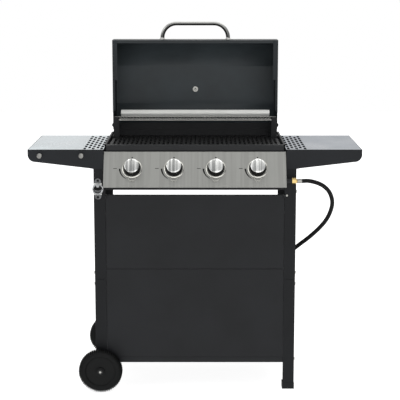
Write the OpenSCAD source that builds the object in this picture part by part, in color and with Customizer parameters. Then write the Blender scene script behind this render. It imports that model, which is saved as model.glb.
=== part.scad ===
// Gas barbecue grill on a cart: four burners, roll-top lid shown open, two side shelves,
// two wheels on the left, and a gas hose with its regulator.
// +Z is up, +X is the user's right, and the front faces -Y. The floor is Z = 0.
// Inside the modules, Y is measured back from the shelves' front edge, and from_front()
// moves a piece to the part's own frame.

/* [Cart] */
// Width over the outsides of the legs
cart_w = 700; // [690:2:710]
// Depth over the front and rear shelf edges
cart_d = 396; // [390:2:402]
// Width of the face of a leg
leg_face = 40; // [36:1:42]
// Depth of the side of a leg
leg_side = 38; // [34:1:42]
// Thickness of the leg sheet
leg_t = 2; // [1.5:0.25:2.5]
// Height of the seam between the upper and lower legs
leg_seam_z = 400; // [390:2:410]
// Height of the top edge of the upper front panel
panel_top_z = 698; // [690:1:702]
// Height of the seam between the two front panels
panel_seam_z = 436; // [430:1:445]
// Height of the top face of the bottom shelf
bottom_shelf_z = 117; // [110:1:120]

/* [Firebox] */
// Half of the width over the end walls
box_half_w = 307.5; // [305:0.5:308]
// Height of the rim
rim_z = 871; // [868:1:872]
// Distance of the front wall behind the shelf edge
box_front_y = 30; // [28:1:32]
// Distance of the rear wall's outer face behind the shelf edge
box_rear_y = 400; // [398:1:402]
// Height of the lower edges of the walls
box_low_z = 752; // [750:1:754]
// Height of the top of the cooking grates
grate_top_z = 858; // [856:1:860]
// Thickness of the cooking grates
grate_t = 12; // [10:1:13]
// Outer radius of a burner tube
burner_r = 13; // [12:0.5:14]

/* [Control panel] */
// Half of the panel's width
panel_half_w = 313; // [312:0.5:313.5]
// Length of the sloping face
panel_slant = 132; // [130:1:133]
// Lean of the face from upright, in degrees
panel_lean = 30; // [29:0.5:30]
// Height of the face's lower edge
panel_low_z = 734; // [733:0.5:735]
// Distance of the lower edge in front of the shelf edge
panel_low_y = 56; // [55:0.5:57]
// Spacing between neighbouring knobs
knob_pitch = 143.5; // [142:0.5:145]
// Radius of a knob's body
knob_r = 25.5; // [24:0.5:26]
// Radius of a knob's skirt
knob_skirt_r = 28.5; // [28:0.5:30]
// Travel of a knob when it is pushed
knob_push = 4; // [3:0.5:4]

/* [Lid] */
// Half of the lid's width
lid_half_w = 303; // [303:0.5:304]
// Distance from the hinge to the front of the lid
lid_reach = 314; // [312:1:316]
// Height of the closed lid above the hinge
lid_rise = 165; // [160:1:170]
// Depth of the closed lid below the hinge
lid_drop = 27; // [26:0.5:27]
// Thickness of the lid sheet
lid_t = 1.5; // [1.2:0.1:1.5]
// Radius of the lid's front shoulder
lid_front_r = 108; // [100:1:115]
// Radius of the lid's rear shoulder
lid_rear_r = 78; // [70:1:85]
// Height of the hinge
hinge_z = 900; // [899:0.5:901]
// Distance of the hinge behind the shelf edge
hinge_y = 362; // [361:0.5:363]
// Radius of the handle's tube
handle_r = 7.5; // [7:0.5:8]
// Bend radius of the handle's corners
handle_bend = 52; // [48:1:54]

/* [Side shelves] */
// Half of the width over both shelves
shelf_half_w = 575; // [565:1:585]
// Height of the top face of the shelves
shelf_z = 857; // [856:0.5:858]
// Thickness of the shelf sheet
shelf_t = 1; // [0.8:0.1:1.5]
// Height of the fascia at the outer end
fascia_end_h = 43; // [40:1:46]
// Height of the fascia at the leg
fascia_leg_h = 67; // [64:1:70]
// Radius of the fascia's lower outer corner
fascia_r = 25; // [20:1:28]

/* [Wheels] */
// Radius of a wheel
wheel_r = 76.5; // [75:0.5:78]
// Width of a wheel
wheel_w = 36; // [34:1:36]
// Radius of the axle
axle_r = 5; // [4.5:0.5:5]
// Distance of the axle from the middle of the cart
axle_x = 332; // [330:1:334]

/* [Gas hose] */
// Outer diameter of the hose
hose_d = 14.5; // [12:0.1:15]

/* [Hidden] */
$fn = 64;

knob_up = 70;                   // the knobs' distance up the sloping face
cap_h = 30;                     // height of a knob's cap edge above the panel
dial_out = 14;                  // the thermometer's depth outside the lid
knobs_front = panel_low_y - knob_up * sin(panel_lean) + cap_h * cos(panel_lean)
    + (knob_r - 1.5) * sin(panel_lean);
front_y = (knobs_front - hinge_y - lid_rise - dial_out) / 2; // the shelf edge, so that Y is centred
fascia_t = 2;                   // thickness of the shelf fascia, in front of the legs
leg_in = cart_w / 2 - leg_face; // inner edge of a leg's face
shelf_in = 314.5;               // inner edge of a shelf
leg_top_z = shelf_z - 5;        // top of the legs, under the shelves
fascia_low_z = shelf_z - fascia_leg_h;
bolt_y = 20;                    // the leg bolts' distance behind the shelf edge
foot_h = 12;                    // height of the foot caps
sheet_t = 1.2;                  // thickness of the panels
bezel_r = 35;                   // outer radius of a knob's bezel
stem_r = 4;                     // radius of a valve stem
run = 0.05;                     // radial clearance of a turning fit
axle_z = wheel_r;
hinge_pin_r = 4;
inlet_r = 10.9;                 // bore of the regulator's hand nut
pivot_y = hinge_y + 20;         // the warming rack's pivot, with the lid open
pivot_z = hinge_z + 28;
rack_half_w = 276;
rack_depth = 110;
manifold_y = -25;
manifold_z = 752;
burner_z = 778;
hose_route = [                  // from the ferrule to the regulator, from the shelf edge
    [367, -25, 752], [392, -25, 752], [424, -20, 743], [449, -10, 727], [467, 0, 704],
    [476, 10, 671], [471, 25, 635], [456, 42, 599], [430, 62, 563], [399, 80, 530],
    [368, 98, 501], [336, 118, 468], [308, 140, 426], [290, 164, 378], [282, 190, 326],
    [279, 216, 274], [275, 243, 224], [263, 266, 178], [240, 281, 148], [212, 286, 138],
    [186, 286, 137]
];

// Moves a piece from the shelf edge's frame to the part's own frame
module from_front() translate([0, front_y, 0]) children();

// Copies a piece made for the front right corner to another corner
module corner(side, rear) {
    translate([0, rear ? cart_d : 0, 0]) mirror([0, rear ? 1 : 0, 0])
        mirror([side < 0 ? 1 : 0, 0, 0]) children();
}

// Extrudes an outline drawn in Y and Z along X
module along_x(x0, x1) {
    translate([x0, 0, 0]) rotate([90, 0, 90]) linear_extrude(x1 - x0) children();
}

// Extrudes an outline drawn in X and Z along Y
module along_y(y0, y1) {
    translate([0, y1, 0]) rotate([90, 0, 0]) linear_extrude(y1 - y0) children();
}

// A rod along Y
module rod_y(x, z, y0, y1, r) translate([x, y0, z]) rotate([-90, 0, 0]) cylinder(h = y1 - y0, r = r);

// A rod along X
module rod_x(y, z, x0, x1, r) translate([x0, y, z]) rotate([0, 90, 0]) cylinder(h = x1 - x0, r = r);

// A box between two corners
module block(a, b) translate(a) cube(b - a);

// ---- Cart ----

// Upper half of a leg: a sheet-metal angle whose face narrows beside the firebox
module leg_upper(side, rear) {
    color([0.16, 0.165, 0.175]) from_front() corner(side, rear) {
        along_y(fascia_t, fascia_t + leg_t)
            polygon([[leg_in, leg_seam_z], [cart_w / 2, leg_seam_z], [cart_w / 2, leg_top_z],
                [shelf_in + 4, leg_top_z], [shelf_in + 4, fascia_low_z], [leg_in, fascia_low_z]]);
        block([cart_w / 2 - leg_t, fascia_t, leg_seam_z],
            [cart_w / 2, fascia_t + leg_side, leg_top_z]);
    }
}

// Lower half of a leg: the left ones end above the floor and carry the axle
module leg_lower(side, rear) {
    low_z = side < 0 ? axle_z - 22 : foot_h;
    color([0.16, 0.165, 0.175]) from_front() corner(side, rear) difference() {
        union() {
            block([leg_in, fascia_t, low_z], [cart_w / 2, fascia_t + leg_t, leg_seam_z - 0.6]);
            block([cart_w / 2 - leg_t, fascia_t, low_z],
                [cart_w / 2, fascia_t + leg_side, leg_seam_z - 0.6]);
        }
        if (side < 0) rod_y(axle_x, axle_z, -1, fascia_t + leg_t + 1, axle_r);
    }
}

// Angles inside the legs that join the two halves
module leg_splices() {
    reach = 48;
    t = 2;
    color([0.14, 0.145, 0.15]) from_front() for (side = [-1, 1]) for (rear = [false, true])
        corner(side, rear) {
            block([leg_in + 6, fascia_t + leg_t, leg_seam_z - reach],
                [cart_w / 2 - leg_t, fascia_t + leg_t + t, leg_seam_z + reach]);
            block([cart_w / 2 - leg_t - t, fascia_t + leg_t, leg_seam_z - reach],
                [cart_w / 2 - leg_t, fascia_t + leg_side - 4, leg_seam_z + reach]);
        }
}

// A front panel: a sheet with its edges folded back
module front_panel(z0, z1) {
    w = leg_in - 0.5;
    y = fascia_t + 1;
    fold = 14;
    color([0.19, 0.195, 0.205]) from_front() difference() {
        block([-w, y, z0], [w, y + fold, z1]);
        block([-w + sheet_t, y + sheet_t, z0 + sheet_t], [w - sheet_t, y + fold + 1, z1 - sheet_t]);
    }
}

// Bottom shelf: a tray turned down at its edges
module bottom_shelf() {
    w = cart_w / 2 - leg_t - 0.5;
    y0 = fascia_t + leg_t + 0.2;
    y1 = cart_d - y0;
    drop = 20;
    color([0.17, 0.175, 0.185]) from_front() difference() {
        block([-w, y0, bottom_shelf_z - drop], [w, y1, bottom_shelf_z]);
        block([-w + sheet_t, y0 + sheet_t, bottom_shelf_z - drop - 1],
            [w - sheet_t, y1 - sheet_t, bottom_shelf_z - sheet_t]);
    }
}

// Rails between the legs, and the runners that the drip tray slides in
module cart_rails() {
    rail_z = 566;
    rail_h = 26;
    front_z = 716;
    front_y1 = fascia_t + leg_t + 1.5;
    runner_z = 738;
    color([0.15, 0.155, 0.165]) from_front() {
        block([-cart_w / 2 + leg_t + 1, cart_d - fascia_t - leg_t - 14, rail_z],
            [cart_w / 2 - leg_t - 1, cart_d - fascia_t - leg_t, rail_z + rail_h]);
        block([-cart_w / 2 + leg_t + 1, fascia_t + leg_t, front_z],
            [cart_w / 2 - leg_t - 1, front_y1, front_z + rail_h]);
        block([-cart_w / 2 + leg_t + 1, front_y1, front_z],
            [cart_w / 2 - leg_t - 1, front_y1 + 10, front_z + 1.5]);
        for (side = [-1, 1]) mirror([side < 0 ? 1 : 0, 0, 0]) {
            block([cart_w / 2 - leg_t - 14, fascia_t + leg_t, rail_z],
                [cart_w / 2 - leg_t, cart_d - fascia_t - leg_t - 14.5, rail_z + rail_h]);
            block([207, 70, runner_z], [208.5, 390, runner_z + 20]);
            block([200, 70, runner_z], [208.5, 390, runner_z + 1.5]);
        }
    }
}

// Plastic caps on the feet of the right legs
module foot_caps() {
    lip = 1.2;
    color([0.07, 0.07, 0.075]) from_front() for (rear = [false, true]) corner(1, rear)
        difference() {
            block([leg_in - lip, fascia_t - lip, 0],
                [cart_w / 2 + lip, fascia_t + leg_side + lip, foot_h + 10]);
            block([leg_in - 0.1, fascia_t - 0.1, foot_h],
                [cart_w / 2 + 0.1, fascia_t + leg_side + 0.1, foot_h + 11]);
        }
}

// ---- Firebox ----

// Front wall with its rolled rim, and holes for the burners
module firebox_front() {
    y = box_front_y;
    t = 1.5;
    lip_y = 12;
    lip_z = rim_z - 19;
    color([0.12, 0.125, 0.13]) from_front() difference() {
        along_x(-box_half_w + t, box_half_w - t) polygon([
            [y, box_low_z], [y + t, box_low_z], [y + t, rim_z], [lip_y, rim_z],
            [lip_y, lip_z], [lip_y + t, lip_z], [lip_y + t, rim_z - t], [y, rim_z - t]]);
        for (i = [1:4]) rod_y(knob_x(i), burner_z, y - 1, y + t + 1, burner_r);
    }
}

// Rear wall, with a strip behind it that stands up between the lid's end plates
module firebox_rear() {
    t = 1.5;
    half = box_half_w - t;
    strip_half = lid_half_w - 4;
    wall_top = rim_z + 9;
    color([0.1, 0.105, 0.11]) from_front() {
        block([-half, box_rear_y - t, box_low_z], [half, box_rear_y, wall_top]);
        block([-strip_half, box_rear_y, wall_top - 12], [strip_half, box_rear_y + t, wall_top + 25]);
    }
}

// End walls with outward rims and ledges for the grates
module firebox_ends() {
    t = 1.5;
    rim_x = 312.5;
    ledge_z = grate_top_z - grate_t;
    color([0.12, 0.125, 0.13]) from_front() for (side = [-1, 1]) mirror([side < 0 ? 1 : 0, 0, 0]) {
        along_y(box_front_y, box_rear_y) polygon([
            [box_half_w - t, box_low_z + 13], [box_half_w, box_low_z + 13],
            [box_half_w, rim_z - t], [rim_x - t, rim_z - t], [rim_x - t, rim_z - 12],
            [rim_x, rim_z - 12], [rim_x, rim_z], [box_half_w - t, rim_z]]);
        block([box_half_w - t - 9, box_front_y + 8, ledge_z - t], [box_half_w - t, box_rear_y - 8, ledge_z]);
    }
}

// Floor: two sheets that fall to a slot over the drip tray
module firebox_floor() {
    slot = 20;
    t = 1.5;
    color([0.1, 0.105, 0.11]) from_front() for (side = [-1, 1]) mirror([side < 0 ? 1 : 0, 0, 0])
        along_y(box_front_y + 1.5, box_rear_y - 1.5) polygon([
            [slot, box_low_z - t], [box_half_w - 1.5, box_low_z + 13 - t],
            [box_half_w - 1.5, box_low_z + 13], [slot, box_low_z]]);
}

// Brackets inside the rear corners that carry the lid
module hinge_brackets() {
    x0 = 279;
    x1 = 300;
    t = 2.5;
    y0 = 315;
    foot_z = 855;
    top_z = 935;
    color([0.15, 0.155, 0.16]) from_front() for (side = [-1, 1]) mirror([side < 0 ? 1 : 0, 0, 0]) {
        difference() {
            union() {
                along_x(x1 - t, x1) polygon([
                    [y0, foot_z], [y0, top_z], [y0 + 7, top_z], [y0 + 7, hinge_z + 6],
                    [hinge_y, hinge_z + 10], [hinge_y + 16, hinge_z - 10], [hinge_y + 22, foot_z]]);
                rod_x(hinge_y, hinge_z, x1 - t, x1, 15);
            }
            rod_x(hinge_y, hinge_z, x1 - t - 1, x1 + 1, hinge_pin_r);
        }
        block([x0, y0, foot_z], [x1 - t, y0 + t, top_z]);
        block([x1, y0, foot_z], [box_half_w - 1.5, hinge_y + 22, rim_z - 6]);
    }
}

// Four burner tubes, open at the front where the gas jet enters
module burners() {
    y0 = 8;
    y1 = 372;
    wall = 1.5;
    color([0.55, 0.54, 0.5]) from_front() for (i = [1:4]) difference() {
        union() {
            rod_y(knob_x(i), burner_z, y0, box_front_y, burner_r + 2);
            rod_y(knob_x(i), burner_z, y0, y1, burner_r - 0.2);
        }
        rod_y(knob_x(i), burner_z, y0 - 1, y1 - 4, burner_r - wall);
    }
}

// Ridged covers over the burners
module flame_tamers() {
    half = 38;
    low_z = 806;
    top_z = 832;
    t = 1.5;
    color([0.42, 0.41, 0.4]) from_front() for (i = [1:4]) translate([knob_x(i), 0, 0])
        along_y(48, 384) polygon([
            [-half, low_z], [-half + 2, low_z], [0, top_z - t], [half - 2, low_z],
            [half, low_z], [1, top_z], [-1, top_z]]);
}

// Ceramic spark electrodes beside the burners, on clips fixed to the front wall
module spark_electrodes() {
    dx = 24;
    z = burner_z + 10;
    color([0.85, 0.84, 0.8]) from_front() for (i = [1:4]) {
        rod_y(knob_x(i) + dx, z, box_front_y + 1.5, box_front_y + 46, 3.5);
        rod_y(knob_x(i) + dx, z, box_front_y + 46, box_front_y + 60, 1);
        block([knob_x(i) + dx - 7, box_front_y + 1.5, z - 9], [knob_x(i) + dx + 7, box_front_y + 3, z - 3.4]);
    }
}

// A cast cooking grate with staggered slots, notched round the hinge bracket
module cooking_grate(side) {
    gap = 1.5;
    w = box_half_w - 5;
    y0 = box_front_y + 5;
    y1 = box_rear_y - 6;
    cols = 18;
    rows = 5;
    pitch_x = (w - gap - 14) / cols;
    pitch_y = (y1 - y0 - 20) / rows;
    notch = [277.8, 312];
    color([0.1, 0.1, 0.105]) from_front() mirror([side < 0 ? 1 : 0, 0, 0]) difference() {
        block([gap, y0, grate_top_z - grate_t], [w, y1, grate_top_z]);
        block([notch[0], notch[1], grate_top_z - grate_t - 1], [w + 1, y1 + 1, grate_top_z + 1]);
        for (c = [0:cols - 1]) for (r = [0:rows - (c == cols - 1 ? 2 : 1)]) {
            x = gap + 7 + (c + 0.5) * pitch_x;
            stagger = (c % 2) * 0.5;
            a = max(y0 + 8, y0 + 10 + (r - stagger) * pitch_y + 3);
            b = y0 + 10 + (r + 1 - stagger) * pitch_y - 3;
            block([x - 4, a, grate_top_z - grate_t - 1], [x + 4, b, grate_top_z + 1]);
        }
    }
}

// ---- Warming rack ----

// Rack that hangs in the lid: a wire grid with an upright guard strip at its rear
module warming_rack() {
    wire = 2.5;
    bars = 37;
    strip_h = 24;
    color([0.8, 0.8, 0.79]) from_front() {
        rod_x(pivot_y, pivot_z, -lid_half_w + lid_t + 0.5, lid_half_w - lid_t - 0.5, wire);
        rod_x(pivot_y - rack_depth, pivot_z, -rack_half_w, rack_half_w, wire);
        for (i = [0:bars - 1]) {
            x = -rack_half_w + 4 + i * (2 * rack_half_w - 8) / (bars - 1);
            block([x - 1.5, pivot_y - rack_depth, pivot_z - 1.5], [x + 1.5, pivot_y, pivot_z + 1.5]);
        }
        block([-rack_half_w, pivot_y - 0.6, pivot_z], [rack_half_w, pivot_y + 0.6, pivot_z + wire + strip_h]);
    }
}

// ---- Gas train and control panel ----

// Place of knob 1 to 4 across the panel
function knob_x(i) = (i - 2.5) * knob_pitch;

// Puts a piece on the panel's face, its Z outwards and its Y up the slope
module on_panel(i) {
    translate([knob_x(i), -panel_low_y + knob_up * sin(panel_lean), panel_low_z + knob_up * cos(panel_lean)])
        rotate([90 - panel_lean, 0, 0]) children();
}

// Supply pipe behind the panel, which leaves at the right
module gas_manifold() {
    color([0.6, 0.58, 0.5]) from_front() {
        rod_x(manifold_y, manifold_z, -250, panel_half_w + 20, 7.5);
        rod_x(manifold_y, manifold_z, -258, -250, 10);
    }
}

// Valve bodies on the manifold, each with a jet towards its burner
module gas_valves() {
    color([0.62, 0.6, 0.55]) from_front() for (i = [1:4]) {
        on_panel(i) difference() {
            translate([0, 0, -27]) cylinder(h = 19, r = 11);
            translate([0, 0, -21]) cylinder(h = 14, r = stem_r + 0.5);
        }
        block([knob_x(i) - 5, manifold_y + 7.5, manifold_z - 3], [knob_x(i) + 5, manifold_y + 18, manifold_z + 26]);
        rod_y(knob_x(i), burner_z - 4, manifold_y + 20, 20, 3.5);
    }
}

// A valve's stem, which passes through the panel into the knob
module valve_stem(i) {
    color([0.7, 0.68, 0.62]) from_front() on_panel(i) translate([0, 0, -16.5])
        cylinder(h = 36.5, r = stem_r);
}

// A knob: a skirted plastic body with a blind bore for the stem
module knob(i) {
    skirt_low = knob_push + 0.5;
    color([0.06, 0.06, 0.065]) from_front() on_panel(i) rotate_extrude() polygon([
        [stem_r + run, skirt_low], [knob_skirt_r, skirt_low], [knob_skirt_r - 0.6, skirt_low + 5],
        [knob_r + 1.5, skirt_low + 8], [knob_r, skirt_low + 21.5], [0, skirt_low + 21.5],
        [0, 20.3], [stem_r + run, 20.3]]);
}

// The knob's metal cap
module knob_cap(i) {
    low = knob_push + 22;
    color([0.78, 0.78, 0.77]) from_front() on_panel(i) rotate_extrude() polygon([
        [0, low], [knob_r, low], [knob_r, cap_h - 1.5], [knob_r - 1.5, cap_h], [0, cap_h + 1]]);
}

// Sloping steel face, folded back underneath, with end caps
module control_panel() {
    t = 1.5;
    top = [-panel_low_y + panel_slant * sin(panel_lean), panel_low_z + panel_slant * cos(panel_lean)];
    back_y = -2;
    color([0.66, 0.66, 0.64]) from_front() difference() {
        union() {
            along_x(-panel_half_w, panel_half_w) polygon([
                top, [-panel_low_y, panel_low_z], [back_y, panel_low_z], [back_y, panel_low_z + t],
                [-panel_low_y + t * 1.73, panel_low_z + t], [top[0] + t * 1.15, top[1]]]);
            for (x = [-panel_half_w, panel_half_w - t]) along_x(x, x + t) polygon([
                [-panel_low_y, panel_low_z], [1.5, panel_low_z],
                [1.5, panel_low_z + (panel_low_y + 1.5) / tan(panel_lean)]]);
        }
        for (i = [1:4]) on_panel(i) translate([0, 0, -4]) cylinder(h = 8, r = stem_r + 3);
        rod_x(manifold_y, manifold_z, panel_half_w - t - 1, panel_half_w + 1, 8);
    }
}

// Plated rings round the knobs, each with a tab at its foot
module knob_bezels() {
    inner = knob_skirt_r + 1.5;
    color([0.8, 0.8, 0.8]) from_front() for (i = [1:4]) on_panel(i) difference() {
        union() {
            cylinder(h = 1.2, r = bezel_r);
            rotate_extrude() polygon([[inner, 0], [bezel_r - 0.5, 0], [bezel_r - 2, 2.6], [inner + 1, 3]]);
            linear_extrude(1.2) polygon([[-16, -30], [-8, -bezel_r - 11], [8, -bezel_r - 11], [16, -30]]);
        }
        translate([0, 0, -1]) cylinder(h = 6, r = inner);
    }
}

// ---- Lid ----

// Outline of the lid's section in the open position, drawn from the hinge and set in by k
module lid_outline(k) {
    rear_u = -12;
    u1 = lid_reach - k;
    w1 = lid_rise - k;
    translate([-lid_drop, rear_u + k]) square([lid_drop + lid_rise - lid_rear_r, lid_reach / 2]);
    translate([-lid_drop, lid_reach / 3]) square([lid_drop + lid_rise - lid_front_r, u1 - lid_reach / 3]);
    translate([-lid_drop, rear_u + lid_rear_r])
        square([lid_drop + w1, lid_reach - lid_front_r - rear_u - lid_rear_r]);
    translate([lid_rise - lid_front_r, lid_reach - lid_front_r]) intersection() {
        circle(lid_front_r - k);
        square(lid_front_r);
    }
    translate([lid_rise - lid_rear_r, rear_u + lid_rear_r]) circle(lid_rear_r - k);
}

// Rolled skin of the lid with a folded front rim
module lid_skin() {
    vent = 72;
    inner_w = lid_half_w - lid_t;
    color([0.2, 0.21, 0.22]) from_front() translate([0, hinge_y, hinge_z]) difference() {
        union() {
            along_x(-inner_w, inner_w) difference() {
                lid_outline(0);
                lid_outline(lid_t);
                translate([-lid_drop - 1, lid_t - 12]) square([6, lid_reach - 2 * lid_t + 12]);
                translate([-lid_drop - 1, -20]) square([vent + 1, 30]);
            }
            block([-inner_w + 17, -lid_drop, lid_reach - 11], [inner_w - 17, -lid_drop + lid_t, lid_reach - lid_t]);
        }
        rod_y(0, 119, lid_rise - 10, lid_rise + 10, 5);
    }
}

// End plates of the lid, with inward returns at the rim and a hole for the hinge bolt
module lid_ends() {
    color([0.19, 0.2, 0.21]) from_front() translate([0, hinge_y, hinge_z])
        for (side = [-1, 1]) mirror([side < 0 ? 1 : 0, 0, 0]) difference() {
            union() {
                along_x(lid_half_w - lid_t, lid_half_w) lid_outline(0);
                block([lid_half_w - 18, -lid_drop, 169], [lid_half_w - lid_t, -lid_drop + lid_t, lid_reach - lid_t]);
                block([lid_half_w - 9, -lid_drop, 56], [lid_half_w - lid_t, -lid_drop + lid_t, 169]);
            }
            rod_x(0, 0, lid_half_w - 5, lid_half_w + 5, hinge_pin_r + run);
        }
}

// Bent tube handle with flared feet
module lid_handle() {
    half = 121;
    straight = half - handle_bend;
    y = hinge_y + 30;
    foot_z = hinge_z + lid_reach;
    bend_z = foot_z + 6.5;
    color([0.82, 0.82, 0.81]) from_front() {
        rod_x(y, bend_z + handle_bend, -straight, straight, handle_r);
        for (side = [-1, 1]) mirror([side < 0 ? 1 : 0, 0, 0]) {
            translate([straight, y, bend_z]) rotate([90, 0, 0]) rotate_extrude(angle = 90)
                translate([handle_bend, 0]) circle(handle_r);
            translate([half, y, foot_z]) cylinder(h = 6.5, r = handle_r);
            translate([half, y, foot_z]) rotate_extrude()
                polygon([[0, 0], [11.5, 0], [11.5, 2], [handle_r, 6], [0, 6]]);
        }
    }
}

// Thermometer: a dial outside, a stem through the skin and a nut inside
module thermometer() {
    z = hinge_z + 119;
    y = hinge_y + lid_rise;
    color([0.78, 0.78, 0.77]) from_front() {
        rod_y(0, z, y, y + 3, 12);
        rod_y(0, z, y + 3, y + dial_out, 32);
        rod_y(0, z, y - 34, y, 4.5);
        translate([0, y - lid_t, z]) rotate([90, 0, 0]) cylinder(h = 6, r = 10, $fn = 6);
    }
}

// ---- Side shelves ----

// Steel top with a field of staggered slots beside the firebox
module shelf_top(side) {
    cols = 5;
    pitch_x = 14.5;
    rows = 7;
    pitch_y = 54;
    slot_w = 9;
    slot_l = 43;
    color(side < 0 ? [0.82, 0.85, 0.87] : [0.7, 0.72, 0.75]) from_front()
        mirror([side < 0 ? 1 : 0, 0, 0]) difference() {
            block([shelf_in, fascia_t, shelf_z - shelf_t],
                [shelf_half_w - fascia_t, cart_d - fascia_t, shelf_z]);
            for (c = [0:cols - 1]) for (r = [0:rows - 1]) {
                x = shelf_in + 8 + c * pitch_x;
                y = 9 + slot_l / 2 + r * pitch_y + (c % 2) * pitch_y / 2;
                if (y + slot_l / 2 < cart_d - 8) translate([x, y, shelf_z - 5]) {
                    for (e = [-1, 1]) translate([0, e * (slot_l - slot_w) / 2, 0])
                        cylinder(h = 10, r = slot_w / 2, $fn = 24);
                    block([-slot_w / 2, -(slot_l - slot_w) / 2, 0], [slot_w / 2, (slot_l - slot_w) / 2, 10]);
                }
            }
        }
}

// Outline of a fascia in X and Z, with a round lower outer corner
module fascia_outline() {
    top = shelf_z;
    low = shelf_z - fascia_end_h;
    centre = [shelf_half_w - fascia_r, low + fascia_r];
    polygon([[shelf_in, top], [shelf_in, fascia_low_z], [cart_w / 2 + 2, fascia_low_z],
        [cart_w / 2 + 12, fascia_low_z + 2], [centre[0], low], centre, [shelf_half_w, centre[1]],
        [shelf_half_w, top]]);
    translate(centre) intersection() {
        circle(fascia_r);
        translate([0, -fascia_r]) square(fascia_r);
    }
}

// Black frame under a shelf: front and rear fascias joined by an end strip
module shelf_frame(side) {
    color([0.19, 0.195, 0.21]) from_front() mirror([side < 0 ? 1 : 0, 0, 0]) {
        along_y(0, fascia_t) fascia_outline();
        along_y(cart_d - fascia_t, cart_d) fascia_outline();
        block([shelf_half_w - fascia_t, fascia_t, shelf_z - fascia_end_h + fascia_r],
            [shelf_half_w, cart_d - fascia_t, shelf_z]);
        block([cart_w / 2 + 1, fascia_t, shelf_z - shelf_t - 25],
            [cart_w / 2 + 3, cart_d - fascia_t, shelf_z - shelf_t]);
    }
}

// Two round pegs on the left fascia for hanging tools
module tool_pegs() {
    color([0.75, 0.75, 0.74]) from_front() for (x = [-533, -390]) {
        rod_y(x, 837, -14, 0, 5);
        rod_y(x, 837, -19, -14, 8.75);
    }
}

// Bottle opener on the front left leg: a plate with a hooded jaw and a tooth
module bottle_opener() {
    x = -335;
    z = 720;
    plate_t = 3;
    jaw = 20;
    color([0.5, 0.5, 0.5]) from_front() translate([x, fascia_t, z]) {
        difference() {
            along_y(-plate_t, 0) difference() {
                union() {
                    translate([-17, -37]) square([34, 74]);
                    translate([-20, -20]) square([40, 40]);
                }
                for (s = [-1, 1]) translate([0, s * 30]) circle(2.2);
            }
        }
        difference() {
            rod_y(0, 0, -plate_t - 15, -plate_t, jaw);
            rod_y(0, 0, -plate_t - 16, -plate_t + 1, jaw - 4);
            block([-30, -40, -30], [30, 10, -5]);
        }
        block([-7, -plate_t - 15, 9], [7, -plate_t - 11, 17]);
    }
}

// ---- Wheels ----

// Axle rod with spacers beside the legs and end caps outside the wheels
module axle() {
    cap_w = 5;
    hub_gap = 0.6;
    front = [-8 - wheel_w, -8];
    rear = [cart_d + 8, cart_d + 8 + wheel_w];
    color([0.62, 0.62, 0.61]) from_front() {
        rod_y(-axle_x, axle_z, front[0] - 6, rear[1] + 6, axle_r);
        rod_y(-axle_x, axle_z, front[0] - hub_gap - cap_w, front[0] - hub_gap, 9);
        rod_y(-axle_x, axle_z, rear[1] + hub_gap, rear[1] + hub_gap + cap_w, 9);
        rod_y(-axle_x, axle_z, front[1] + hub_gap, fascia_t, 9);
        rod_y(-axle_x, axle_z, cart_d - fascia_t, rear[0] - hub_gap, 9);
    }
}

// A moulded wheel: treaded rim, recessed web and a hub that turns on the axle
module wheel(y0) {
    teeth = 48;
    half = wheel_w / 2;
    color([0.09, 0.09, 0.095]) from_front() translate([-axle_x, y0 + half, axle_z]) rotate([-90, 0, 0])
        difference() {
            rotate_extrude() polygon([
                [axle_r + run, -half], [16, -half], [17, -half + 6], [44, -half + 8], [52, -half + 2],
                [58, -half], [wheel_r - 5, -half], [wheel_r, -half + 5], [wheel_r, half - 5],
                [wheel_r - 5, half], [58, half], [52, half - 2], [44, half - 8], [17, half - 6],
                [16, half], [axle_r + run, half]]);
            for (i = [0:teeth - 1]) rotate(i * 360 / teeth) for (s = [0, 1]) mirror([0, 0, s])
                translate([wheel_r - 2.5, -1.6, half - 9]) cube([5, 3.2, 10]);
        }
}

// ---- Drip tray ----

// Tray that slides out at the back, with rims that hang on the runners
module drip_tray() {
    w = 197;
    y0 = 62;
    y1 = 388;
    z0 = 722;
    z1 = 740.9;
    t = 1.2;
    color([0.5, 0.5, 0.5]) from_front() {
        difference() {
            block([-w, y0, z0], [w, y1, z1]);
            block([-w + t, y0 + t, z0 + t], [w - t, y1 - t, z1 + 1]);
        }
        for (side = [-1, 1]) mirror([side < 0 ? 1 : 0, 0, 0])
            block([w, y0, z1 - t], [w + 8, y1, z1]);
        block([-60, y1, z1 - t], [60, y1 + 22, z1]);
        block([-60, y1 + 20.8, z1 - 14], [60, y1 + 22, z1 - t]);
    }
}

// ---- Fasteners ----

// A domed screw head facing the front
module front_screw(x, y, z, r) {
    translate([x, y, z]) rotate([90, 0, 0]) rotate_extrude()
        polygon([[0, 0], [r, 0], [r * 0.85, r * 0.3], [r * 0.4, r * 0.5], [0, r * 0.55]]);
}

// Bolt heads on the legs, screws in the panels and opener, and the lid's hinge bolts
module fasteners() {
    color([0.6, 0.6, 0.59]) from_front() {
        for (side = [-1, 1]) for (rear = [false, true]) corner(side, rear)
            for (z = [106, leg_seam_z - 20, leg_seam_z + 20, 708])
                rod_x(bolt_y, z, cart_w / 2, cart_w / 2 + 3.5, 5.5);
        front_screw(318, fascia_t, panel_top_z - 1, 4);
        for (x = [-305, 305]) front_screw(x, fascia_t + 1, panel_top_z - 8, 3);
        for (s = [-1, 1]) front_screw(-335, fascia_t - 3, 720 + s * 30, 4.5);
        for (side = [-1, 1]) mirror([side < 0 ? 1 : 0, 0, 0]) {
            rod_x(hinge_y, hinge_z, 292, lid_half_w + 0.5, hinge_pin_r);
            rod_x(hinge_y, hinge_z, lid_half_w + 0.5, lid_half_w + 6, 7);
            rod_x(hinge_y, hinge_z, 291, 297, 7);
        }
    }
}

// ---- Gas hose ----

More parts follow.
